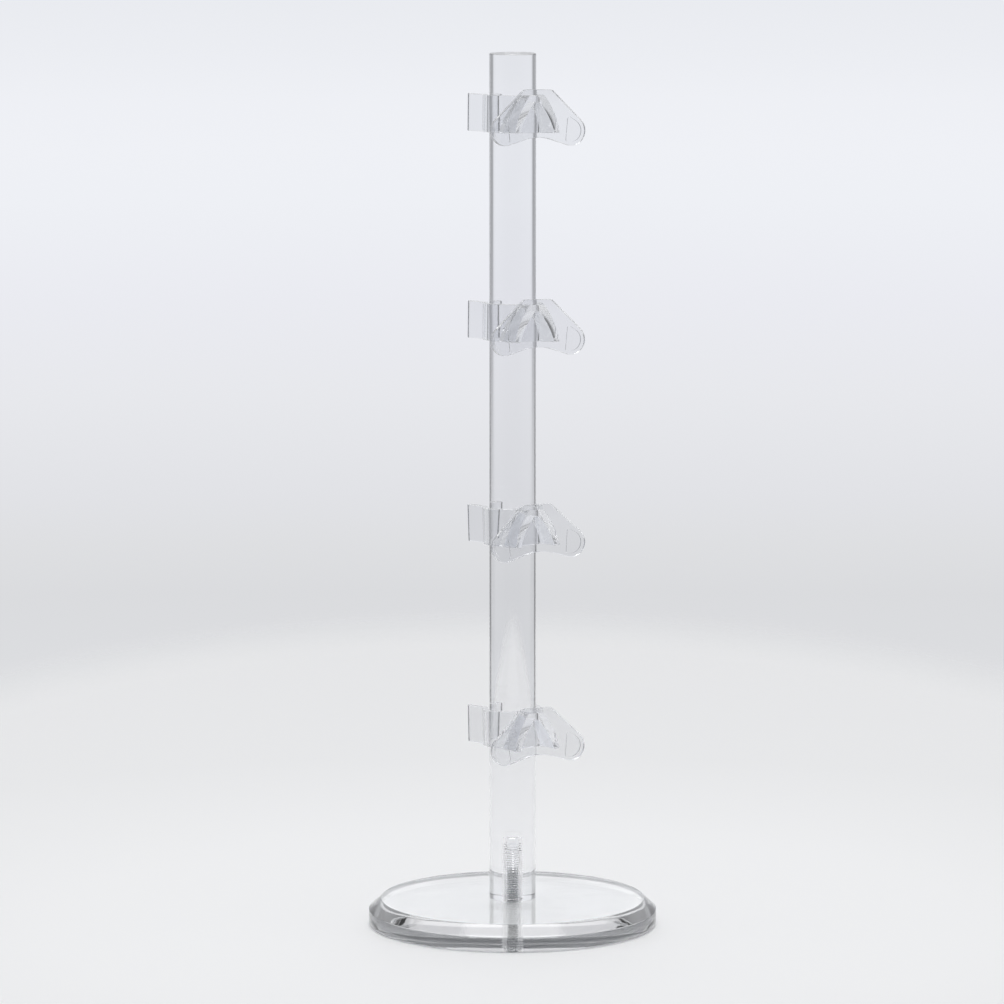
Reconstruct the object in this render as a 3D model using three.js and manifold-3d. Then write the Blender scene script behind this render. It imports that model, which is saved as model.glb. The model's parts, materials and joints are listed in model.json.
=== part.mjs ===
// Eyeglass display rack: a clear acrylic rod screwed upright onto a round bevelled base, with four
// clear clips pushed onto the rod. Each clip is a springy C-collar, a nose-shaped saddle in front of
// it and a winged plate that keeps the glasses on the saddle.
// Millimetres, +Z up, origin at the centre of the face that the rack stands on, front towards -Y.
import * as THREE from "three";
import { mergeVertices } from "three/addons/utils/BufferGeometryUtils.js";
import Module from "manifold-3d";

const wasm = await Module();
wasm.setup();

// ---- Driving dimensions, mm and degrees ----
const touchGap = 0.3; // left between pieces that bear on each other

const baseRadius = 77.8;
const baseThickness = 13.7;
const bevelDrop = 5.8; // height of the slope round the top edge
const bevelInset = 6.6; // its width

const rodRadius = 12.5;
const rodLength = 457;
const rodEdge = 0.4; // chamfer at both ends
const rodFoot = baseThickness + touchGap;

const threadRadius = 4; // M8 x 1.25
const tapDrillRadius = 3.4;
const tappedDepth = 31;
const drilledDepth = 33.6;
const holeChamfer = 0.5; // at both ends of the threaded hole through the base

const screwLength = 30; // headless, so it can be driven up from below
const screwRecess = 0.7; // how far its lower end sits inside the base
const screwTip = 0.9; // chamfer at both ends of the thread
const socketWidth = 4; // hexagon socket in its lower end, across flats
const socketDepth = 4.5;

// A clip is drawn round the rod's axis: u to its right, n forward from the axis, w up from the
// middle of its collar.
const collarRadius = 16.1; // outside
const collarPlay = 0.35; // room on the rod beyond the gap, which lets the clip lean back a little
const collarHeight = 20;
const collarReach = 123; // from the nose to where each lip starts
const lipFlare = 15; // how far a lip leans out from straight back
const lipLength = 12.7;
const lipThickness = 2.2; // at its end
const lipCorner = 0.3; // rounding of its end's corners
const elbowRadius = 1.5; // outside the bend between collar and lip

const saddleTilt = 2.5; // saddle and plate rise towards the front

const plateFront = 32.6; // n of the plate's front face
const plateThickness = 2.8;
const plateBack = plateFront - plateThickness;
const plateEdge = 0.5; // rounding of the plate's rims
const cornerRadius = 2.5; // top corners
const cornerCentre = new THREE.Vector2(7, 9.9);
const lobeRadius = 8; // ends of the two wings
const lobeCentre = new THREE.Vector2(19.3, -9.35);
const notchRadius = 26; // hollow of the bottom edge
const notchTop = -13;
const padRim = 2; // rim left round the shallow pad in the back of each wing
const padDepth = 0.8;
const padShoulder = { at: new THREE.Vector2(-0.6, 6), r: 1.2 }; // corners, from the lobe's centre
const padHeel = { at: new THREE.Vector2(-2, -5), r: 1 };

const saddleDrop = 0.6; // how far the saddle sits below the collar's rims
const saddleFoot = 12.8; // half widths of the saddle's outside
const saddleTop = 4.6;
const saddleBulge = new THREE.Vector2(10.4, 3); // control point of its curved side
const hollowFoot = 9.8; // the same for its inside
const hollowTop = 1.7;
const hollowBulge = new THREE.Vector2(7.2, 1);
const saddleRoof = 3.5; // thickness over the hollow
const saddleStart = 5; // n of its blank, within the collar

const clipAzimuth = 25; // the clips face this far round from the front
// Where each clip was pushed by hand: the height of its collar's middle, and how many degrees its
// right wing hangs down.
const clipSeats = [
  { height: 439.1, roll: 1.6 },
  { height: 327.8, roll: 1.6 },
  { height: 218.1, roll: -1 },
  { height: 108.1, roll: 0 },
];

// Fineness of the round shapes: sides to a full turn, degrees to a step, and steps to a curve.
const baseSides = 96;
const rodSides = 64;
const screwSides = 32;
const collarStep = 6;
const plateStep = 12;
const padStep = 15;
const saddleSteps = 6;

const rad = THREE.MathUtils.degToRad;
const collarBore = rodRadius + touchGap + collarPlay;
const clipLean = Math.atan(collarPlay / (collarHeight / 2));
const v2 = (x, y) => new THREE.Vector2(x, y);

// ---- Materials ----
const clearPlastic = (color, opacity) =>
  new THREE.MeshStandardMaterial({ color, opacity, roughness: 0.05, metalness: 0, transparent: true });
const rodAcrylic = clearPlastic(0xe9eef4, 0.35);
const baseAcrylic = clearPlastic(0xe6ebee, 0.4);
const clipPlastic = clearPlastic(0xdfe4ea, 0.5);
const steel = new THREE.MeshStandardMaterial({ color: 0xc4c6c8, roughness: 0.3, metalness: 1 });

// ---- Solids ----
// A closed three.js geometry as a manifold-3d solid, and back.
function solidFrom(geometry) {
  geometry.deleteAttribute("normal");
  geometry.deleteAttribute("uv");
  const merged = mergeVertices(geometry, 1e-3);
  return new wasm.Manifold(
    new wasm.Mesh({
      numProp: 3,
      vertProperties: merged.attributes.position.array,
      triVerts: new Uint32Array(merged.index.array),
    }),
  );
}

function geometryFrom(solid) {
  const { vertProperties, triVerts } = solid.getMesh();
  const geometry = new THREE.BufferGeometry();
  geometry.setAttribute("position", new THREE.BufferAttribute(vertProperties, 3));
  geometry.setIndex(new THREE.BufferAttribute(triVerts, 1));
  geometry.computeVertexNormals();
  return geometry;
}

// A solid of revolution about Z from (radius, height) points.
const turned = (profile, segments) =>
  new THREE.LatheGeometry(profile, segments).rotateX(Math.PI / 2);

// An outline as a belt round discs, counterclockwise. A disc with a negative radius pushes the
// belt in from outside, which makes a hollow stretch. Consecutive stretches are tangent.
function beltAround(discs, stepAngle) {
  const normals = discs.map((disc, i) => {
    const next = discs[(i + 1) % discs.length];
    const across = next.at.clone().sub(disc.at);
    const lean = THREE.MathUtils.clamp((disc.r - next.r) / across.length(), -1, 1);
    return across.angle() - Math.acos(lean);
  });
  return discs.flatMap((disc, i) => {
    const from = normals[(i + discs.length - 1) % discs.length];
    const turn = THREE.MathUtils.euclideanModulo(Math.sign(disc.r) * (normals[i] - from), 2 * Math.PI);
    const steps = Math.max(1, Math.round(turn / rad(stepAngle)));
    return Array.from({ length: steps + 1 }, (_, k) => {
      const angle = from + (Math.sign(disc.r) * turn * k) / steps;
      return v2(Math.cos(angle), Math.sin(angle)).multiplyScalar(disc.r).add(disc.at);
    });
  });
}

const mirrored = (discs) => discs.map(({ at, r }) => ({ at: v2(-at.x, at.y), r })).reverse();

// A (u, w) outline pushed forward from n = back to n = front, along the tilt of the saddle.
function pushedForward(outline, back, front, edge = 0) {
  const geometry = new THREE.ExtrudeGeometry(new THREE.Shape(outline), {
    depth: front - back - 2 * edge,
    bevelEnabled: edge > 0,
    bevelThickness: edge,
    bevelSize: edge,
    bevelOffset: -edge,
    bevelSegments: 1,
  });
  return solidFrom(geometry.translate(0, 0, back + edge).rotateX(Math.PI / 2 - rad(saddleTilt)));
}

// ---- Base, rod and screw ----
function makeBase() {
  const boreRadius = threadRadius + touchGap;
  const profile = [
    v2(boreRadius, holeChamfer),
    v2(boreRadius + holeChamfer, 0),
    v2(baseRadius, 0),
    v2(baseRadius, baseThickness - bevelDrop),
    v2(baseRadius - bevelInset, baseThickness),
    v2(boreRadius + holeChamfer, baseThickness),
    v2(boreRadius, baseThickness - holeChamfer),
    v2(boreRadius, holeChamfer),
  ];
  return turned(profile, baseSides);
}

function makeRod() {
  const boreRadius = threadRadius + touchGap;
  const profile = [
    v2(0, drilledDepth),
    v2(tapDrillRadius, drilledDepth),
    v2(tapDrillRadius, tappedDepth),
    v2(boreRadius, tappedDepth),
    v2(boreRadius, 0),
    v2(rodRadius - rodEdge, 0),
    v2(rodRadius, rodEdge),
    v2(rodRadius, rodLength - rodEdge),
    v2(rodRadius - rodEdge, rodLength),
    v2(0, rodLength),
  ];
  return turned(profile, rodSides);
}

function makeScrew() {
  const profile = [
    v2(0, 0),
    v2(threadRadius - screwTip, 0),
    v2(threadRadius, screwTip),
    v2(threadRadius, screwLength - screwTip),
    v2(threadRadius - screwTip, screwLength),
    v2(0, screwLength),
  ];
  const hexRadius = socketWidth / 2 / Math.cos(rad(30));
  const socket = new THREE.CylinderGeometry(hexRadius, hexRadius, 2 * socketDepth, 6);
  const blank = solidFrom(turned(profile, screwSides));
  return geometryFrom(blank.subtract(solidFrom(socket.rotateX(Math.PI / 2))));
}

// ---- Clip ----
// The C-collar with its two flared lips, as seen from above.
function makeCollar() {
  const reach = rad(collarReach);
  const flare = rad(lipFlare);
  const elbow = v2(Math.sin(reach), Math.cos(reach)).multiplyScalar(collarRadius + elbowRadius);
  const along = v2(Math.sin(flare), -Math.cos(flare)); // from the elbow to the right lip's end
  const inward = v2(-Math.cos(flare), -Math.sin(flare)); // from the elbow's centre to the lip
  const wall = collarRadius - collarBore;
  const lipEnd = elbow
    .clone()
    .addScaledVector(along, lipLength - lipCorner)
    .addScaledVector(inward, elbowRadius + wall / 2);
  const half = lipThickness / 2 - lipCorner;
  const rightLip = [
    { at: elbow, r: elbowRadius + wall },
    { at: lipEnd.clone().addScaledVector(inward, half), r: lipCorner },
    { at: lipEnd.clone().addScaledVector(inward, -half), r: lipCorner },
    { at: elbow, r: -elbowRadius },
  ];
  const outline = beltAround(
    [
      { at: v2(0, 0), r: -collarBore },
      ...rightLip,
      { at: v2(0, 0), r: collarRadius },
      ...mirrored(rightLip),
    ],
    collarStep,
  );
  const shape = new THREE.Shape(outline.map(({ x, y }) => v2(x, -y)));
  const geometry = new THREE.ExtrudeGeometry(shape, { depth: collarHeight, bevelEnabled: false });
  return solidFrom(geometry.translate(0, 0, -collarHeight / 2));
}

// The saddle: an arch as deep as the space between collar and plate, open underneath.
function makeSaddle() {
  const foot = -collarHeight / 2 - saddleDrop;
  const top = collarHeight / 2 - saddleDrop;
  const outline = new THREE.Shape();
  outline.moveTo(hollowFoot, foot).lineTo(saddleFoot, foot);
  outline.quadraticCurveTo(saddleBulge.x, saddleBulge.y, saddleTop, top).lineTo(-saddleTop, top);
  outline.quadraticCurveTo(-saddleBulge.x, saddleBulge.y, -saddleFoot, foot);
  outline.lineTo(-hollowFoot, foot);
  outline.quadraticCurveTo(-hollowBulge.x, hollowBulge.y, -hollowTop, top - saddleRoof);
  outline.lineTo(hollowTop, top - saddleRoof);
  outline.quadraticCurveTo(hollowBulge.x, hollowBulge.y, hollowFoot, foot);
  const insideWall = (collarRadius + collarBore) / 2;
  const behind = new THREE.CylinderGeometry(insideWall, insideWall, 2 * collarHeight, rodSides);
  const middle = plateFront - plateThickness / 2;
  const arch = pushedForward(outline.getPoints(saddleSteps), saddleStart, middle);
  return arch.subtract(solidFrom(behind.rotateX(Math.PI / 2)));
}

// The winged plate, with a shallow pad sunk in the back of each wing.
function makePlate() {
  const rightSide = [
    { at: lobeCentre, r: lobeRadius },
    { at: cornerCentre, r: cornerRadius },
  ];
  const outline = beltAround(
    [{ at: v2(0, notchTop - notchRadius), r: -notchRadius }, ...rightSide, ...mirrored(rightSide)],
    plateStep,
  );
  const pad = [
    { at: lobeCentre, r: lobeRadius - padRim },
    { at: lobeCentre.clone().add(padShoulder.at), r: padShoulder.r },
    { at: lobeCentre.clone().add(padHeel.at), r: padHeel.r },
  ];
  const [right, left] = [pad, mirrored(pad)].map((discs) =>
    pushedForward(beltAround(discs, padStep), plateBack - padDepth, plateBack + padDepth),
  );
  return pushedForward(outline, plateBack, plateFront, plateEdge).subtract(right).subtract(left);
}

const makeClip = () => geometryFrom(makeCollar().add(makeSaddle()).add(makePlate()));

// ---- Assembly ----
const rack = new THREE.Group();

function place(name, geometry, material, z, parent = rack) {
  const mesh = new THREE.Mesh(geometry, material);
  mesh.name = name;
  mesh.position.z = z;
  parent.add(mesh);
  return mesh;
}

place("base_disc", makeBase(), baseAcrylic, 0);
place("display_rod", makeRod(), rodAcrylic, rodFoot);
place("rod_screw", makeScrew(), steel, screwRecess);

const clipGeometry = makeClip();
clipSeats.forEach(({ height, roll }, i) => {
  const aimed = new THREE.Group();
  aimed.rotation.z = rad(clipAzimuth);
  rack.add(aimed);
  const clip = place(`nose_clip_${i + 1}`, clipGeometry, clipPlastic, height, aimed);
  clip.rotation.set(-clipLean, rad(roll), 0);
});

export default rack;
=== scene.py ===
"""Eyeglass display rack: the fine surface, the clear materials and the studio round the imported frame.

Sizes are in millimetres here and become metres as each mesh is made. A clip is drawn as in the
CAD: u to its right, n forward from the rod's axis, w up from the middle of its collar.
"""

import json
import math

import bmesh
import bpy
from mathutils import Matrix, Vector


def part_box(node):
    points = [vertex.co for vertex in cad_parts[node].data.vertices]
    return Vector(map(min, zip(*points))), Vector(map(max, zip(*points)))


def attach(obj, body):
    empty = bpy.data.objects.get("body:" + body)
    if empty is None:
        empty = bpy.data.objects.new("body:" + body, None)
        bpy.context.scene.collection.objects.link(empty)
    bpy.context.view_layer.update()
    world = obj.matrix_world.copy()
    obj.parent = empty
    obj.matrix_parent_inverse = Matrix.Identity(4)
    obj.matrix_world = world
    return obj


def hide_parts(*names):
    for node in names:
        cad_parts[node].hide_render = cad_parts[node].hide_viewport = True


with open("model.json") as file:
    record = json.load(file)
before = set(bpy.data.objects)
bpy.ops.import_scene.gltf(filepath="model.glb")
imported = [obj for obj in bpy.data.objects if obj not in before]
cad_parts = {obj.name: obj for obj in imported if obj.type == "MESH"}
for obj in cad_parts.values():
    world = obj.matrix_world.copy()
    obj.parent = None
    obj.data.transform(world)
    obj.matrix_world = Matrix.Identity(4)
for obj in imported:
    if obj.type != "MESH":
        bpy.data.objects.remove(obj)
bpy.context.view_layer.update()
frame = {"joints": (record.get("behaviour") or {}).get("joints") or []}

MM = 0.001
AIR = 0.08  # film of air between pieces that bear on each other


def size_mm(node):
    """(lowest corner, highest corner) of a CAD node, in millimetres."""
    return [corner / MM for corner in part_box(node)]


base_high = size_mm("base_disc")[1]
rod_low, rod_high = size_mm("display_rod")
screw_low, screw_high = size_mm("rod_screw")

BASE_RADIUS = base_high.x
BASE_TOP = (base_high.z + rod_low.z) / 2
BEVEL_DROP = 5.8
BEVEL_INSET = 6.6
BEVEL_ROUND = 0.7  # both edges of the slope
FOOT_ROUND = 0.6
HOLE_CHAMFER = 0.5
SHADED_RIM_RADIUS = 70.5  # where the painted shade on the rim of the underside starts
SHADED_WALL_FROM = 2.8  # mean height of the wavy line that the wall's painted shade starts above
WAVE = 6  # its range

ROD_RADIUS = rod_high.x
ROD_FOOT = BASE_TOP + AIR
ROD_TOP = rod_high.z
ROD_ROUNDS = (0.25, 0.35)  # edges of its foot and of its top

PITCH = 1.25  # M8 coarse
SLICE = PITCH / 14  # height of one row of a thread's faces
GROOVE = 0.6  # how much of the pitch a groove takes at its mouth
FLANKS = 0.5  # how much of it the groove's two sloping sides take
HOLE_MINOR = 3.42  # crests and roots of the holes' thread
HOLE_MAJOR = 3.95
SCREW_MINOR = 3.12  # roots and crests of the screw's
SCREW_MAJOR = 3.85
TAPPED_DEPTH = 31
TAP_LEAD = 5  # where the tap's tapered end has cut a shallower thread
HOLE_LEAD = 0.35  # how far the rod's hole opens out at its mouth
LEAD_HEIGHT = 0.3
DRILLED_DEPTH = 33.6
DRILL_TIP = (0.6, 0.9)  # radius of the flat that ends the drilled hole, and height of the cone round it
SCREW_TIP = 0.9
SOCKET_WIDTH = 4
SOCKET_DEPTH = 4.5
SOCKET_MOUTH = 0.3

COLLAR_RADIUS = 16.1
COLLAR_BORE = 13.15
COLLAR_HEIGHT = 20
COLLAR_REACH = 123
LIP_FLARE = 15
LIP_LENGTH = 12.7
LIP_CORNER = 0.3
LIP_THICKNESS = 2.2
ELBOW_RADIUS = 1.5
COLLAR_STEP = 3  # degrees for each side of its rounds

SADDLE_TILT = 2.5
SADDLE_DROP = 0.6
SADDLE_FOOT = 12.8
SADDLE_TOP = 4.6
SADDLE_SIDE = 42  # radius of its bulging sides
SADDLE_STEP = 1.5
LEG = 3  # width of the arch's legs at their feet
LEG_ROUND = 0.5
SHOULDER_ROUND = 0.8
HOLLOW_TOP = 1.7
HOLLOW_ROUND = 1
SADDLE_ROOF = 3.5

PLATE_FRONT = 32.6
PLATE_THICKNESS = 2.8
CORNER_RADIUS = 2.5
CORNER_CENTRE = Vector((7, 9.9))
LOBE_RADIUS = 8
LOBE_CENTRE = Vector((19.3, -9.35))
NOTCH_RADIUS = 26
NOTCH_TOP = -13
PAD_RIM = 2
PAD_DEPTH = 0.8
PAD_OVERCUT = 1  # how far the pads' cutters start behind the plate
PAD_SHOULDER = (LOBE_CENTRE + Vector((-0.6, 6)), 1.2)
PAD_HEEL = (LOBE_CENTRE + Vector((-2, -5)), 1)

CLIP_AZIMUTH = 25  # of every clip, from the front towards +X
CLIP_LEAN = 2
CLIP_ROLLS = (1.6, 1.6, -1, 0)  # degrees that each clip's right wing hangs down
RIM = 0.4  # rounding of the collar's edges
PLATE_RIM = 0.35  # and of the plate's
SMOOTH_ANGLE = 35  # sharper edges stay sharp

# The studio, in metres. The tones are linear.
CAMERA_PLACE = (-0.0057, -3.3212, 0.7067)
CAMERA_TILT = 8.166  # degrees down
LENS = 224.07
SENSOR = 36

FLOOR_REACH = (0.56, 1.1, 1)
FLOOR_FADE = 0.82  # where the floor starts to fade out, as a part of its reach
FLOOR_GAP = 0.0003
# Colour against distance from the rack's middle: a painted pool of light, lightest under the rack and
# greyer further out.
FLOOR_TONES = [(0.0, (0.95, 0.955, 0.96)), (0.25, (0.94, 0.945, 0.95)), (0.5, (0.88, 0.885, 0.89)),
               (1.0, (0.86, 0.865, 0.87))]
# Colour against the height of the direction, from -1 straight down to 1 straight up.
SKY_TONES = [
    (-1.0, (0.72, 0.73, 0.75)),
    (-0.17, (0.72, 0.73, 0.75)),
    (-0.1575, (0.701, 0.708, 0.73)),
    (-0.1512, (0.723, 0.73, 0.745)),
    (-0.1417, (0.753, 0.76, 0.791)),
    (-0.1259, (0.799, 0.807, 0.839)),
    (-0.11, (0.823, 0.831, 0.88)),
    (-0.0941, (0.855, 0.871, 0.913)),
    (-0.0814, (0.867, 0.88, 0.922)),
    (-0.0647, (0.82, 0.835, 0.875)),
    (0.1, (0.86, 0.87, 0.9)),
    (0.26, (0.86, 0.87, 0.9)),
    (0.7, (0.88, 0.88, 0.9)),
    (0.78, (0.45, 0.45, 0.46)),
    (0.92, (0.45, 0.45, 0.46)),
    (0.95, (3.4, 3.4, 3.37)),
    (1.0, (3.5, 3.5, 3.47)),
]
# Strength against degrees round from straight behind the rack, near the floor and above it. One set
# gives way to the other, and that to full strength all round, over two ranges of height.
LOW_SIDES = [(0, 1.0), (54, 1.0), (62, 0.24), (78, 0.24), (88, 0.8), (120, 0.5), (150, 0.2), (180, 0.2)]
HIGH_SIDES = [(0, 1.0), (40, 1.0), (50, 0.45), (80, 0.45), (90, 0.8), (120, 0.5), (150, 0.2), (180, 0.2)]
LOW_TO_HIGH = (-0.16, -0.09)
HIGH_TO_FULL = (0.5, 0.75)


# ---- Meshes ----
def finished(name, bm, body, node, material):
    """Makes the mesh an object in metres, smooth but for its sharp edges, that stands for a node."""
    bmesh.ops.recalc_face_normals(bm, faces=bm.faces)
    bmesh.ops.scale(bm, vec=Vector((MM, MM, MM)), verts=bm.verts)
    mesh = bpy.data.meshes.new(name)
    bm.to_mesh(mesh)
    bm.free()
    mesh.polygons.foreach_set("use_smooth", [True] * len(mesh.polygons))
    mesh.set_sharp_from_angle(angle=math.radians(SMOOTH_ANGLE))
    piece = bpy.data.objects.new(name, mesh)
    bpy.context.collection.objects.link(piece)
    normals = piece.modifiers.new("flat faces stay flat", "WEIGHTED_NORMAL")
    normals.keep_sharp = True
    mesh.materials.append(material)
    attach(piece, body)
    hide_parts(node)


def ring(bm, radius, z, segments):
    """A ring of vertices about Z. radius is a number, or a function of the angle and the height."""
    verts = []
    for k in range(segments):
        angle = 2 * math.pi * k / segments
        r = radius(angle, z) if callable(radius) else radius
        verts.append(bm.verts.new((r * math.cos(angle), r * math.sin(angle), z)))
    return verts


def bridge(bm, lower, upper):
    """Quads between two rings of the same length."""
    for k in range(len(lower)):
        j = (k + 1) % len(lower)
        bm.faces.new((lower[k], lower[j], upper[j], upper[k]))


def turned(bm, profile, segments, closed=False):
    """A surface of revolution through (radius, z) points, capped at both ends or closed on itself."""
    rings = [ring(bm, r, z, segments) for r, z in profile]
    for lower, upper in zip(rings, rings[1:]):
        bridge(bm, lower, upper)
    if closed:
        bridge(bm, rings[-1], rings[0])
    else:
        bm.faces.new(list(reversed(rings[0])))
        bm.faces.new(rings[-1])


def rounded(points, radii, steps=4):
    """An open (radius, z) profile with each inner corner rounded by its radius."""
    out = [points[0]]
    for before, at, after, radius in zip(points, points[1:], points[2:], radii):
        at, a, b = Vector(at), Vector(before), Vector(after)
        to_a, to_b = (a - at).normalized(), (b - at).normalized()
        half = to_a.angle(to_b) / 2
        reach = radius / math.tan(half)
        centre = at + (to_a + to_b).normalized() * (radius / math.sin(half))
        start, end = at + to_a * reach - centre, at + to_b * reach - centre
        turn = start.angle_signed(end)
        for k in range(steps + 1):
            angle = -turn * k / steps
            spoke = Vector((start.x * math.cos(angle) - start.y * math.sin(angle),
                            start.x * math.sin(angle) + start.y * math.cos(angle)))
            out.append(tuple(centre + spoke))
    return out + [points[-1]]


def thread(minor, major, start, end, lead=PITCH / 2):
    """The radius of a right-hand M8 thread as a function of angle and height, faded at its ends."""
    def radius(angle, z):
        phase = (z / PITCH - angle / (2 * math.pi)) % 1
        flank = abs(phase - 0.5) * 2  # 0 in the middle of the groove and 1 in the middle of the land
        depth = min(max((GROOVE - flank) / FLANKS, 0), 1)
        fade = min(max(min((z - start) / (PITCH / 2), (end - z) / lead), 0), 1)
        return minor + (major - minor) * depth * fade
    return radius


def heights(start, end):
    """Heights from start to end, about a slice apart."""
    count = max(1, round((end - start) / SLICE))
    return [start + (end - start) * k / count for k in range(count + 1)]


# ---- Belt outlines, as in the CAD ----
def belt(discs, step=6):
    """The outline of a belt round (centre, radius) discs, counterclockwise. A negative radius pushes
    the belt in from outside."""
    normals = []
    for (at, r), (to, s) in zip(discs, discs[1:] + discs[:1]):
        across = to - at
        lean = min(max((r - s) / across.length, -1), 1)
        normals.append(math.atan2(across.y, across.x) - math.acos(lean))
    points = []
    for i, (at, r) in enumerate(discs):
        sign = math.copysign(1, r)
        turn = (sign * (normals[i] - normals[i - 1])) % (2 * math.pi)
        if turn > 2 * math.pi - 1e-6:
            turn = 0
        steps = max(1, round(turn / math.radians(step)))
        for k in range(steps + 1):
            angle = normals[i - 1] + sign * turn * k / steps
            points.append(at + Vector((math.cos(angle), math.sin(angle))) * r)
    return [p for p, q in zip(points, points[1:] + points[:1]) if (p - q).length > 1e-4]


def mirrored(discs):
    return [(Vector((-at.x, at.y)), r) for at, r in reversed(discs)]


def bulging(a, b, radius):
    """A disc of a given radius that touches the discs a and b, on the far side from the line's right."""
    (p, r), (q, s) = a, b
    d, e = abs(radius - r), abs(radius - s)
    across = q - p
    length = across.length
    along = (d * d - e * e + length * length) / (2 * length)
    off = math.sqrt(d * d - along * along)
    unit = across / length
    return p + unit * along + Vector((-unit.y, unit.x)) * off, radius


def offset(outline, distance):
    """The outline moved in by a distance, point by point."""
    moved = []
    for before, at, after in zip(outline[-1:] + outline, outline, outline[1:] + outline[:1]):
        one, two = (at - before).normalized(), (after - at).normalized()
        inward = Vector((-one.y - two.y, one.x + two.x)).normalized()
        moved.append(at + inward * distance / max(inward.dot(Vector((-one.y, one.x))), 0.3))
    return moved


def pushed(outline, low, high, rim=0.0, steps=4):
    """A solid between two heights with this outline and rounded rims, in its own bmesh."""
    bm = bmesh.new()
    levels = [(rim * (1 - math.sin(a)), low + rim * (1 - math.cos(a)))
              for a in (math.pi / 2 * k / steps for k in range(steps + 1))] if rim else [(0, low)]
    levels += [(inset, low + high - z) for inset, z in reversed(levels)]
    rings = []
    for inset, z in levels:
        rings.append([bm.verts.new((p.x, p.y, z)) for p in offset(outline, inset)])
    for lower, upper in zip(rings, rings[1:]):
        bridge(bm, lower, upper)
    bm.faces.new(list(reversed(rings[0])))
    bm.faces.new(rings[-1])
    return bm


def forward(bm):
    """Turns a solid drawn in (u, w) and pushed along n into the clip's axes, on the saddle's tilt."""
    turn = Matrix.Rotation(math.pi / 2 - math.radians(SADDLE_TILT), 3, "X")
    bmesh.ops.rotate(bm, cent=(0, 0, 0), matrix=turn, verts=bm.verts)
    return bm


def joined(solids, operation="UNION"):
    """The first bmesh with the others joined to it or cut from it."""
    objects = []
    for bm in solids:
        bmesh.ops.recalc_face_normals(bm, faces=bm.faces)
        mesh = bpy.data.meshes.new("scratch")
        bm.to_mesh(mesh)
        bm.free()
        objects.append(bpy.data.objects.new("scratch", mesh))
        bpy.context.collection.objects.link(objects[-1])
    first, *others = objects
    for other in others:
        cut = first.modifiers.new("join", "BOOLEAN")
        cut.operation, cut.object, cut.solver = operation, other, "EXACT"
    bpy.context.view_layer.update()
    result = bmesh.new()
    result.from_object(first, bpy.context.evaluated_depsgraph_get())
    for o in objects:
        mesh = o.data
        bpy.data.objects.remove(o)
        bpy.data.meshes.remove(mesh)
    bmesh.ops.remove_doubles(result, verts=result.verts, dist=1e-4)
    return result


# ---- Materials ----
def math_node(nodes, links, operation, *inputs):
    """The output of a Math node that takes these numbers and sockets."""
    node = nodes.new("ShaderNodeMath")
    node.operation = operation
    for socket, value in zip(node.inputs, inputs):
        if isinstance(value, (int, float)):
            socket.default_value = value
        else:
            links.new(value, socket)
    return node.outputs[0]


def ramp_of(nodes, stops, interpolation="LINEAR"):
    """A colour ramp with (place, colour or grey) stops."""
    ramp = nodes.new("ShaderNodeValToRGB")
    elements = ramp.color_ramp.elements
    while len(elements) < len(stops):
        elements.new(0.5)
    for element, (place, colour) in zip(elements, stops):
        element.position = place
        element.color = (*colour, 1) if isinstance(colour, tuple) else (colour, colour, colour, 1)
    ramp.color_ramp.interpolation = interpolation
    return ramp


def noise(nodes, links, place, stretch, scale, detail=2.0):
    """Noise over object coordinates, stretched by a factor along each axis."""
    mapping = nodes.new("ShaderNodeMapping")
    mapping.inputs["Scale"].default_value = stretch
    links.new(place, mapping.inputs["Vector"])
    texture = nodes.new("ShaderNodeTexNoise")
    texture.inputs["Scale"].default_value = scale
    texture.inputs["Detail"].default_value = detail
    links.new(mapping.outputs[0], texture.inputs["Vector"])
    return texture.outputs["Fac"]


def ranged(nodes, links, value, low, high, to_low, to_high):
    """The value, with the range from low to high stretched onto another and held at its ends."""
    node = nodes.new("ShaderNodeMapRange")
    node.inputs["From Min"].default_value = low
    node.inputs["From Max"].default_value = high
    node.inputs["To Min"].default_value = to_low
    node.inputs["To Max"].default_value = to_high
    links.new(value, node.inputs["Value"])
    return node.outputs["Result"]


def step(nodes, links, value, low, high):
    """0 at low and 1 at high, which may be the lower of the two."""
    return ranged(nodes, links, value, low, high, 0, 1)


def spread(nodes, links, place, vector):
    """The place's component along a vector."""
    node = nodes.new("ShaderNodeVectorMath")
    node.operation = "DOT_PRODUCT"
    node.inputs[1].default_value = vector
    links.new(place, node.inputs[0])
    return node.outputs["Value"]


def painted_base_shade(nodes, links, place):
    """Painted shade: 1 on the base's wall, down to a wavy line, and on the rim of its underside."""
    x, y, z = (spread(nodes, links, place, v) for v in ((1, 0, 0), (0, 1, 0), (0, 0, 1)))
    square = math_node(nodes, links, "MULTIPLY", x, x)
    radius = math_node(nodes, links, "SQRT", math_node(nodes, links, "MULTIPLY_ADD", y, y, square))
    wall_top = (BASE_TOP - BEVEL_DROP) * MM
    outer = step(nodes, links, radius, SHADED_RIM_RADIUS * MM, (SHADED_RIM_RADIUS + 1) * MM)
    below = step(nodes, links, z, wall_top, wall_top - 0.3 * MM)
    wave = noise(nodes, links, place, (1, 1, 0), 22, 1.0)
    height = math_node(nodes, links, "MULTIPLY_ADD", wave, WAVE * MM, z)
    upper = step(nodes, links, height, (SHADED_WALL_FROM + WAVE / 2 - 0.4) * MM, (SHADED_WALL_FROM + WAVE / 2) * MM)
    under = step(nodes, links, z, 0.2 * MM, 0.1 * MM)
    either = math_node(nodes, links, "MAXIMUM", upper, under)
    return math_node(nodes, links, "MULTIPLY", math_node(nodes, links, "MULTIPLY", outer, below), either)


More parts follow.
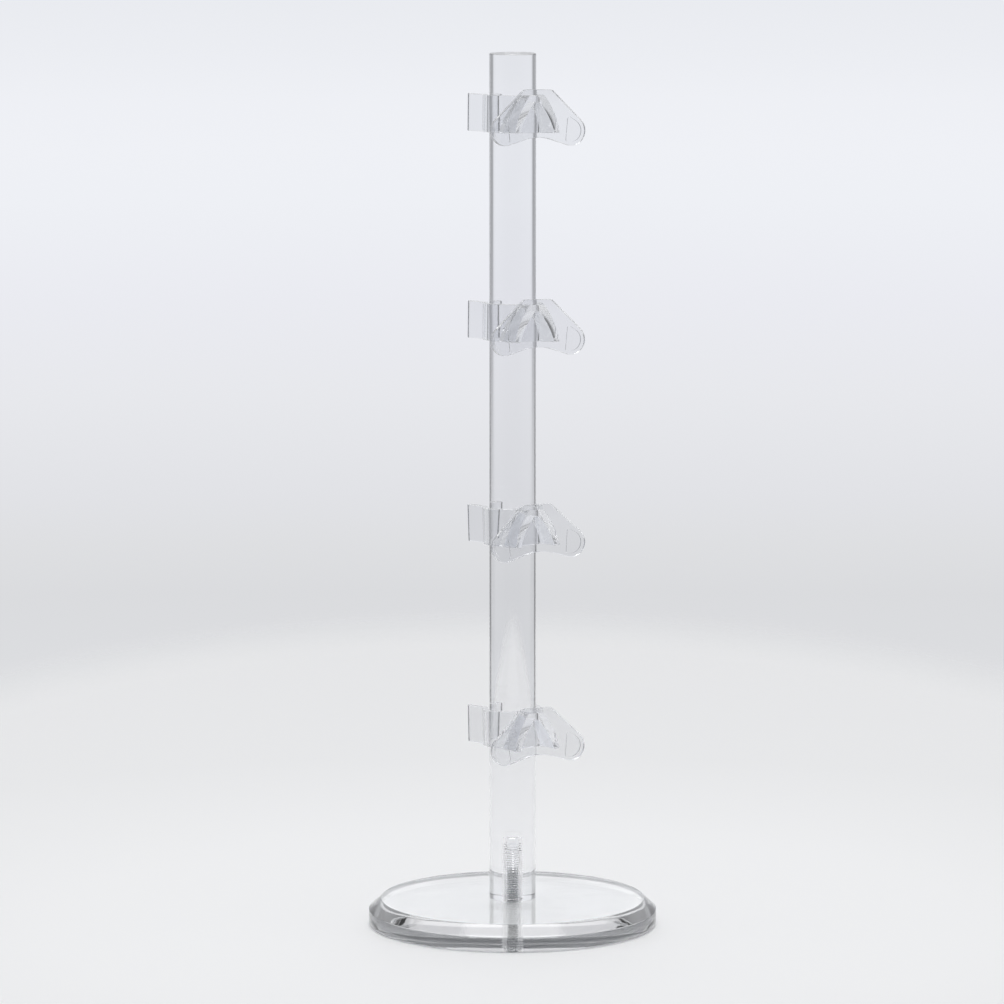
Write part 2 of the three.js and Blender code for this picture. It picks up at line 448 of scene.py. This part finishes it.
def painted_arch_shade(nodes, links, place):
    """Painted shade: 1 along the clips' arches, where the moulded walls are thickest; there the colour
    is greyed to stand in for shade.
    """
    turn = math.radians(CLIP_AZIMUTH)
    ahead = spread(nodes, links, place, (math.sin(turn), -math.cos(turn), 0))
    across = spread(nodes, links, place, (math.cos(turn), math.sin(turn), 0))
    aside = math_node(nodes, links, "ABSOLUTE", across)
    back = PLATE_FRONT - PLATE_THICKNESS
    begun = step(nodes, links, ahead, (COLLAR_RADIUS + 1) * MM, (COLLAR_RADIUS + 2) * MM)
    done = step(nodes, links, ahead, (back - 0.4) * MM, (back - 1) * MM)
    within = step(nodes, links, aside, (SADDLE_FOOT + 0.6) * MM, SADDLE_FOOT * MM)
    return math_node(nodes, links, "MULTIPLY", math_node(nodes, links, "MULTIPLY", begun, done), within)


def clear_plastic(name, tints, ripple, ripple_depth, haze, ior=1.49, shade_mask=None, shade_tint=None):
    """Clear plastic between two tints. Its faces ripple very slightly, as drawn or moulded, and carry
    fine handling scratches and a haze that comes and goes. Where the mask gives 1, its tint is painted
    shade."""
    material = bpy.data.materials.new(name)
    material.use_nodes = True
    nodes, links = material.node_tree.nodes, material.node_tree.links
    shader = nodes["Principled BSDF"]
    shader.inputs["IOR"].default_value = ior
    shader.inputs["Transmission Weight"].default_value = 1
    place = nodes.new("ShaderNodeTexCoord").outputs["Object"]
    cloud = noise(nodes, links, place, (1, 1, 1), 35)
    tone = ramp_of(nodes, [(0.35, tints[0]), (0.65, tints[1])])
    links.new(cloud, tone.inputs["Fac"])
    colour = tone.outputs["Color"]
    # Painted shade: where the mask gives 1, the colour is mixed over to the darker tint.
    if shade_mask:
        mix = nodes.new("ShaderNodeMix")
        mix.data_type = "RGBA"
        links.new(shade_mask(nodes, links, place), mix.inputs["Factor"])
        links.new(colour, mix.inputs["A"])
        mix.inputs["B"].default_value = (*shade_tint, 1)
        colour = mix.outputs["Result"]
    links.new(colour, shader.inputs["Base Color"])
    smears = noise(nodes, links, place, (1, 1, 0.3), 90, 4.0)
    scratches = noise(nodes, links, place, (1, 1, 0.04), 1400, 1.0)
    fine = ranged(nodes, links, scratches, 0.66, 0.74, 0, haze)
    rough = math_node(nodes, links, "ADD", ranged(nodes, links, smears, 0.45, 0.75, 0, haze), fine)
    links.new(rough, shader.inputs["Roughness"])
    waves = noise(nodes, links, place, ripple, 60, 0.0)
    bump = nodes.new("ShaderNodeBump")
    bump.inputs["Strength"].default_value = 1
    bump.inputs["Distance"].default_value = ripple_depth
    links.new(waves, bump.inputs["Height"])
    links.new(bump.outputs[0], shader.inputs["Normal"])
    return material


def plated_steel():
    """Zinc-plated steel: turned round its axis, with duller patches in the plating."""
    material = bpy.data.materials.new("zinc_plated_steel")
    material.use_nodes = True
    nodes, links = material.node_tree.nodes, material.node_tree.links
    shader = nodes["Principled BSDF"]
    shader.inputs["Metallic"].default_value = 1
    place = nodes.new("ShaderNodeTexCoord").outputs["Object"]
    patches = noise(nodes, links, place, (1, 1, 1), 260, 3.0)
    tone = ramp_of(nodes, [(0.3, (0.42, 0.43, 0.44)), (0.7, (0.6, 0.61, 0.62))])
    links.new(patches, tone.inputs["Fac"])
    links.new(tone.outputs["Color"], shader.inputs["Base Color"])
    turning = noise(nodes, links, place, (0.05, 0.05, 1), 9000, 1.0)
    links.new(ranged(nodes, links, turning, 0.3, 0.7, 0.2, 0.42), shader.inputs["Roughness"])
    bump = nodes.new("ShaderNodeBump")
    bump.inputs["Strength"].default_value = 0.4
    bump.inputs["Distance"].default_value = 0.00002
    links.new(turning, bump.inputs["Height"])
    links.new(bump.outputs[0], shader.inputs["Normal"])
    return material


# Painted shade: the base's wall and the rim of its underside are tinted dark grey to stand in for shade.
base_acrylic = clear_plastic(
    "base_acrylic", ((0.975, 0.98, 0.98), (0.985, 0.99, 0.99)), (1, 1, 1), 0.000015, 0.012,
    shade_mask=painted_base_shade, shade_tint=(0.52, 0.525, 0.535))
rod_acrylic = clear_plastic(
    "rod_acrylic", ((0.95, 0.953, 0.963), (0.962, 0.965, 0.974)), (1, 1, 0.15), 0.00001, 0.015)
# Painted shade: the clips' arches between collar and plate are tinted grey to stand in for shade.
clip_plastic = clear_plastic(
    "clip_plastic", ((0.915, 0.92, 0.932), (0.93, 0.935, 0.945)), (1, 1, 1), 0.00002, 0.035, ior=1.5,
    shade_mask=painted_arch_shade, shade_tint=(0.85, 0.855, 0.865))
steel = plated_steel()


# ---- Base, rod and screw ----
def make_base():
    bm = bmesh.new()
    mouth = HOLE_MAJOR + HOLE_CHAMFER
    inside = thread(HOLE_MINOR, HOLE_MAJOR, -PITCH, BASE_TOP + PITCH)
    hole = [(inside, z) for z in heights(HOLE_CHAMFER, BASE_TOP - HOLE_CHAMFER)]
    outside = [
        (mouth, 0),
        (BASE_RADIUS, 0),
        (BASE_RADIUS, BASE_TOP - BEVEL_DROP),
        (BASE_RADIUS - BEVEL_INSET, BASE_TOP),
        (mouth, BASE_TOP),
    ]
    profile = [*reversed(hole), *rounded(outside, (FOOT_ROUND, BEVEL_ROUND, BEVEL_ROUND))]
    turned(bm, profile, 288, closed=True)
    finished("clear_base", bm, "stand", "base_disc", base_acrylic)


def make_rod():
    bm = bmesh.new()
    tapped = ROD_FOOT + TAPPED_DEPTH
    drilled = ROD_FOOT + DRILLED_DEPTH
    inside = thread(HOLE_MINOR, HOLE_MAJOR, ROD_FOOT - PITCH, tapped, TAP_LEAD)
    hole = [(inside, z) for z in heights(ROD_FOOT + LEAD_HEIGHT, tapped)]
    tip, cone = DRILL_TIP
    outside = [
        (HOLE_MAJOR + HOLE_LEAD, ROD_FOOT),
        (ROD_RADIUS, ROD_FOOT),
        (ROD_RADIUS, ROD_TOP),
        (tip, ROD_TOP),
    ]
    top = [(tip, drilled + cone), (HOLE_MINOR, drilled), (HOLE_MINOR, tapped + 0.1)]
    profile = [*top, *reversed(hole)]
    turned(bm, profile + rounded(outside, ROD_ROUNDS), 144)
    finished("clear_rod", bm, "stand", "display_rod", rod_acrylic)


def make_screw():
    """Headless, threaded all along, with a hexagon socket in its lower end."""
    low, high = screw_low.z, screw_high.z
    outside = thread(SCREW_MINOR, SCREW_MAJOR, low + SCREW_TIP / 2, high - SCREW_TIP / 2)
    shank = [(outside, z) for z in heights(low + SCREW_TIP / 2, high - SCREW_TIP / 2)]
    blank = bmesh.new()
    turned(blank, [(SCREW_MAJOR - SCREW_TIP, low), *shank, (SCREW_MAJOR - SCREW_TIP, high)], 96)
    socket = bmesh.new()
    hexagon = SOCKET_WIDTH / 2 / math.cos(math.radians(30))
    mouth = (hexagon + SOCKET_MOUTH, low - SOCKET_MOUTH)
    turned(socket, [mouth, (hexagon, low), (hexagon, low + SOCKET_DEPTH)], 6)
    bm = joined([blank, socket], "DIFFERENCE")
    finished("steel_screw", bm, "stand", "rod_screw", steel)


# ---- Clips ----
def collar_outline():
    """The C of the collar with its two lips, in plan, with the nose towards -Y."""
    reach, flare = math.radians(COLLAR_REACH), math.radians(LIP_FLARE)
    wall = COLLAR_RADIUS - COLLAR_BORE
    elbow = Vector((math.sin(reach), math.cos(reach))) * (COLLAR_RADIUS + ELBOW_RADIUS)
    along = Vector((math.sin(flare), -math.cos(flare)))
    inward = Vector((-math.cos(flare), -math.sin(flare)))
    middle = elbow + along * (LIP_LENGTH - LIP_CORNER) + inward * (ELBOW_RADIUS + wall / 2)
    half = LIP_THICKNESS / 2 - LIP_CORNER
    lip = [
        (elbow, ELBOW_RADIUS + wall),
        (middle + inward * half, LIP_CORNER),
        (middle - inward * half, LIP_CORNER),
        (elbow, -ELBOW_RADIUS),
    ]
    centre = Vector((0, 0))
    discs = [(centre, -COLLAR_BORE), *lip, (centre, COLLAR_RADIUS), *mirrored(lip)]
    outline = belt(discs, step=COLLAR_STEP)
    return [Vector((p.x, -p.y)) for p in reversed(outline)]


def make_saddle():
    """The arch, from inside the collar's wall to inside the plate."""
    foot, top = -COLLAR_HEIGHT / 2 - SADDLE_DROP, COLLAR_HEIGHT / 2 - SADDLE_DROP
    outer_foot = (Vector((SADDLE_FOOT - LEG_ROUND, foot + LEG_ROUND)), LEG_ROUND)
    outer_top = (Vector((SADDLE_TOP - SHOULDER_ROUND, top - SHOULDER_ROUND)), SHOULDER_ROUND)
    inner_top = (Vector((HOLLOW_TOP - HOLLOW_ROUND, top - SADDLE_ROOF - HOLLOW_ROUND)), -HOLLOW_ROUND)
    inner_foot = (Vector((SADDLE_FOOT - LEG + LEG_ROUND, foot + LEG_ROUND)), LEG_ROUND)
    right = [
        inner_foot,
        outer_foot,
        bulging(outer_foot, outer_top, SADDLE_SIDE),
        outer_top,
    ]
    inside = [inner_top, bulging(inner_foot, inner_top, -SADDLE_SIDE)]
    outline = belt([*right, *mirrored(right), *mirrored(inside), *inside], step=SADDLE_STEP)
    bm = bmesh.new()
    middle = (COLLAR_RADIUS + COLLAR_BORE) / 2
    back = [bm.verts.new((p.x, p.y, math.sqrt(middle**2 - p.x**2))) for p in outline]
    front = [bm.verts.new((p.x, p.y, PLATE_FRONT - PLATE_THICKNESS / 2)) for p in outline]
    bridge(bm, back, front)
    bm.faces.new(list(reversed(back)))
    bm.faces.new(front)
    bmesh.ops.triangulate(bm, faces=[f for f in bm.faces if len(f.verts) > 4])
    return forward(bm)


def make_plate():
    """The winged plate, hollow along its bottom edge."""
    side = [(LOBE_CENTRE, LOBE_RADIUS), (CORNER_CENTRE, CORNER_RADIUS)]
    notch = (Vector((0, NOTCH_TOP - NOTCH_RADIUS)), -NOTCH_RADIUS)
    back = PLATE_FRONT - PLATE_THICKNESS
    return forward(pushed(belt([notch, *side, *mirrored(side)]), back, PLATE_FRONT, PLATE_RIM))


def make_pads():
    """Cutters for the recesses in the plate's back, one in each wing."""
    back = PLATE_FRONT - PLATE_THICKNESS
    pad = [(LOBE_CENTRE, LOBE_RADIUS - PAD_RIM), PAD_SHOULDER, PAD_HEEL]
    low, high = back - PAD_OVERCUT, back + PAD_DEPTH
    return [forward(pushed(belt(discs), low, high)) for discs in (pad, mirrored(pad))]


def clip_mesh():
    """One clip, upright, with its collar's middle at the origin."""
    half = COLLAR_HEIGHT / 2
    body = joined([pushed(collar_outline(), -half, half, RIM), make_saddle(), make_plate()])
    return joined([body, *make_pads()], "DIFFERENCE")


def make_clips():
    pattern = clip_mesh()
    lean = Matrix.Rotation(-math.radians(CLIP_LEAN), 3, "X")
    aim = Matrix.Rotation(math.radians(CLIP_AZIMUTH), 3, "Z")
    for joint, roll in zip(frame["joints"], CLIP_ROLLS):
        body = joint["child"]
        bm = pattern.copy()
        turn = aim @ lean @ Matrix.Rotation(math.radians(roll), 3, "Y")
        bmesh.ops.rotate(bm, cent=(0, 0, 0), matrix=turn, verts=bm.verts)
        bmesh.ops.translate(bm, vec=(0, 0, joint["pos_m"][2] / MM), verts=bm.verts)
        finished(f"clear_{body}", bm, body, f"nose_{body}", clip_plastic)
    pattern.free()


# ---- Studio ----
def make_floor():
    """A long white table top that fades out into the background at its rim."""
    bm = bmesh.new()
    bmesh.ops.create_circle(bm, cap_ends=True, radius=1, segments=128)
    bmesh.ops.scale(bm, vec=FLOOR_REACH, verts=bm.verts)
    bmesh.ops.translate(bm, vec=(0, 0, -FLOOR_GAP), verts=bm.verts)
    mesh = bpy.data.meshes.new("floor")
    bm.to_mesh(mesh)
    bm.free()
    floor = bpy.data.objects.new("floor", mesh)
    bpy.context.collection.objects.link(floor)
    material = bpy.data.materials.new("floor")
    material.use_nodes = True
    nodes, links = material.node_tree.nodes, material.node_tree.links
    shader = nodes["Principled BSDF"]
    shader.inputs["Roughness"].default_value = 0.6
    shader.inputs["Specular IOR Level"].default_value = 0.2
    place = nodes.new("ShaderNodeTexCoord")
    shrunk = nodes.new("ShaderNodeVectorMath")
    shrunk.operation = "DIVIDE"
    shrunk.inputs[1].default_value = FLOOR_REACH
    links.new(place.outputs["Object"], shrunk.inputs[0])
    length = nodes.new("ShaderNodeVectorMath")
    length.operation = "LENGTH"
    links.new(shrunk.outputs[0], length.inputs[0])
    fade = nodes.new("ShaderNodeMapRange")
    fade.interpolation_type = "SMOOTHSTEP"
    fade.inputs["From Min"].default_value = FLOOR_FADE
    fade.inputs["From Max"].default_value = 1
    fade.inputs["To Min"].default_value = 1
    fade.inputs["To Max"].default_value = 0
    links.new(length.outputs["Value"], fade.inputs["Value"])
    links.new(fade.outputs["Result"], shader.inputs["Alpha"])
    reach = nodes.new("ShaderNodeVectorMath")
    reach.operation = "LENGTH"
    links.new(place.outputs["Object"], reach.inputs[0])
    # Painted pool of light: the floor's colour greys with distance from the rack's middle.
    tone = ramp_of(nodes, FLOOR_TONES)
    links.new(reach.outputs["Value"], tone.inputs["Fac"])
    links.new(tone.outputs["Color"], shader.inputs["Base Color"])
    mesh.materials.append(material)


def make_world():
    """A soft white surround. It is brightest overhead and behind the rack, greyer to the sides, and
    darkest low down at the edges of the white sweep."""
    world = bpy.data.worlds.new("studio")
    bpy.context.scene.world = world
    world.use_nodes = True
    nodes, links = world.node_tree.nodes, world.node_tree.links
    place = nodes.new("ShaderNodeTexCoord")
    split = nodes.new("ShaderNodeSeparateXYZ")
    links.new(place.outputs["Generated"], split.inputs[0])
    height = math_node(nodes, links, "MULTIPLY_ADD", split.outputs["Z"], 0.5, 0.5)
    tone = ramp_of(nodes, [((z + 1) / 2, colour) for z, colour in SKY_TONES])
    links.new(height, tone.inputs["Fac"])

    across = math_node(nodes, links, "ABSOLUTE", split.outputs["X"])
    angle = math_node(nodes, links, "ARCTAN2", across, split.outputs["Y"])
    turn = math_node(nodes, links, "DIVIDE", angle, math.pi)
    factors = []
    for stops in (LOW_SIDES, HIGH_SIDES):
        side = ramp_of(nodes, [(degrees / 180, grey) for degrees, grey in stops], "EASE")
        links.new(turn, side.inputs["Fac"])
        factors.append(side.outputs["Color"])
    rise = nodes.new("ShaderNodeMapRange")
    rise.interpolation_type = "SMOOTHSTEP"
    rise.inputs["From Min"].default_value = LOW_TO_HIGH[0]
    rise.inputs["From Max"].default_value = LOW_TO_HIGH[1]
    links.new(split.outputs["Z"], rise.inputs["Value"])
    mix = nodes.new("ShaderNodeMix")
    mix.data_type = "RGBA"
    links.new(rise.outputs["Result"], mix.inputs["Factor"])
    links.new(factors[0], mix.inputs["A"])
    links.new(factors[1], mix.inputs["B"])
    background = nodes["Background"]
    links.new(tone.outputs["Color"], background.inputs["Color"])
    over = nodes.new("ShaderNodeMapRange")
    over.interpolation_type = "SMOOTHSTEP"
    over.inputs["From Min"].default_value = HIGH_TO_FULL[0]
    over.inputs["From Max"].default_value = HIGH_TO_FULL[1]
    links.new(split.outputs["Z"], over.inputs["Value"])
    whole = nodes.new("ShaderNodeMix")
    whole.inputs["B"].default_value = 1
    links.new(over.outputs["Result"], whole.inputs["Factor"])
    links.new(mix.outputs["Result"], whole.inputs["A"])
    links.new(whole.outputs["Result"], background.inputs["Strength"])


def make_camera():
    camera = bpy.data.cameras.new("camera")
    camera.sensor_width = SENSOR
    camera.lens = LENS
    camera.clip_end = 50
    o = bpy.data.objects.new("camera", camera)
    bpy.context.collection.objects.link(o)
    o.location = CAMERA_PLACE
    o.rotation_euler = (math.radians(90 - CAMERA_TILT), 0, 0)
    bpy.context.scene.camera = o


make_base()
make_rod()
make_screw()
make_clips()
make_floor()
make_world()
make_camera()

scene = bpy.context.scene
scene.view_settings.view_transform = "Standard"
# Light crosses many clear walls here, and is turned back inside them. Left at its default, the glossy
# filter would roughen the walls on its way down to the floor, and darken the floor under the base.
scene.cycles.max_bounces = 24
scene.cycles.transmission_bounces = 24
scene.cycles.glossy_bounces = 24
scene.cycles.transparent_max_bounces = 16
scene.cycles.blur_glossy = 0
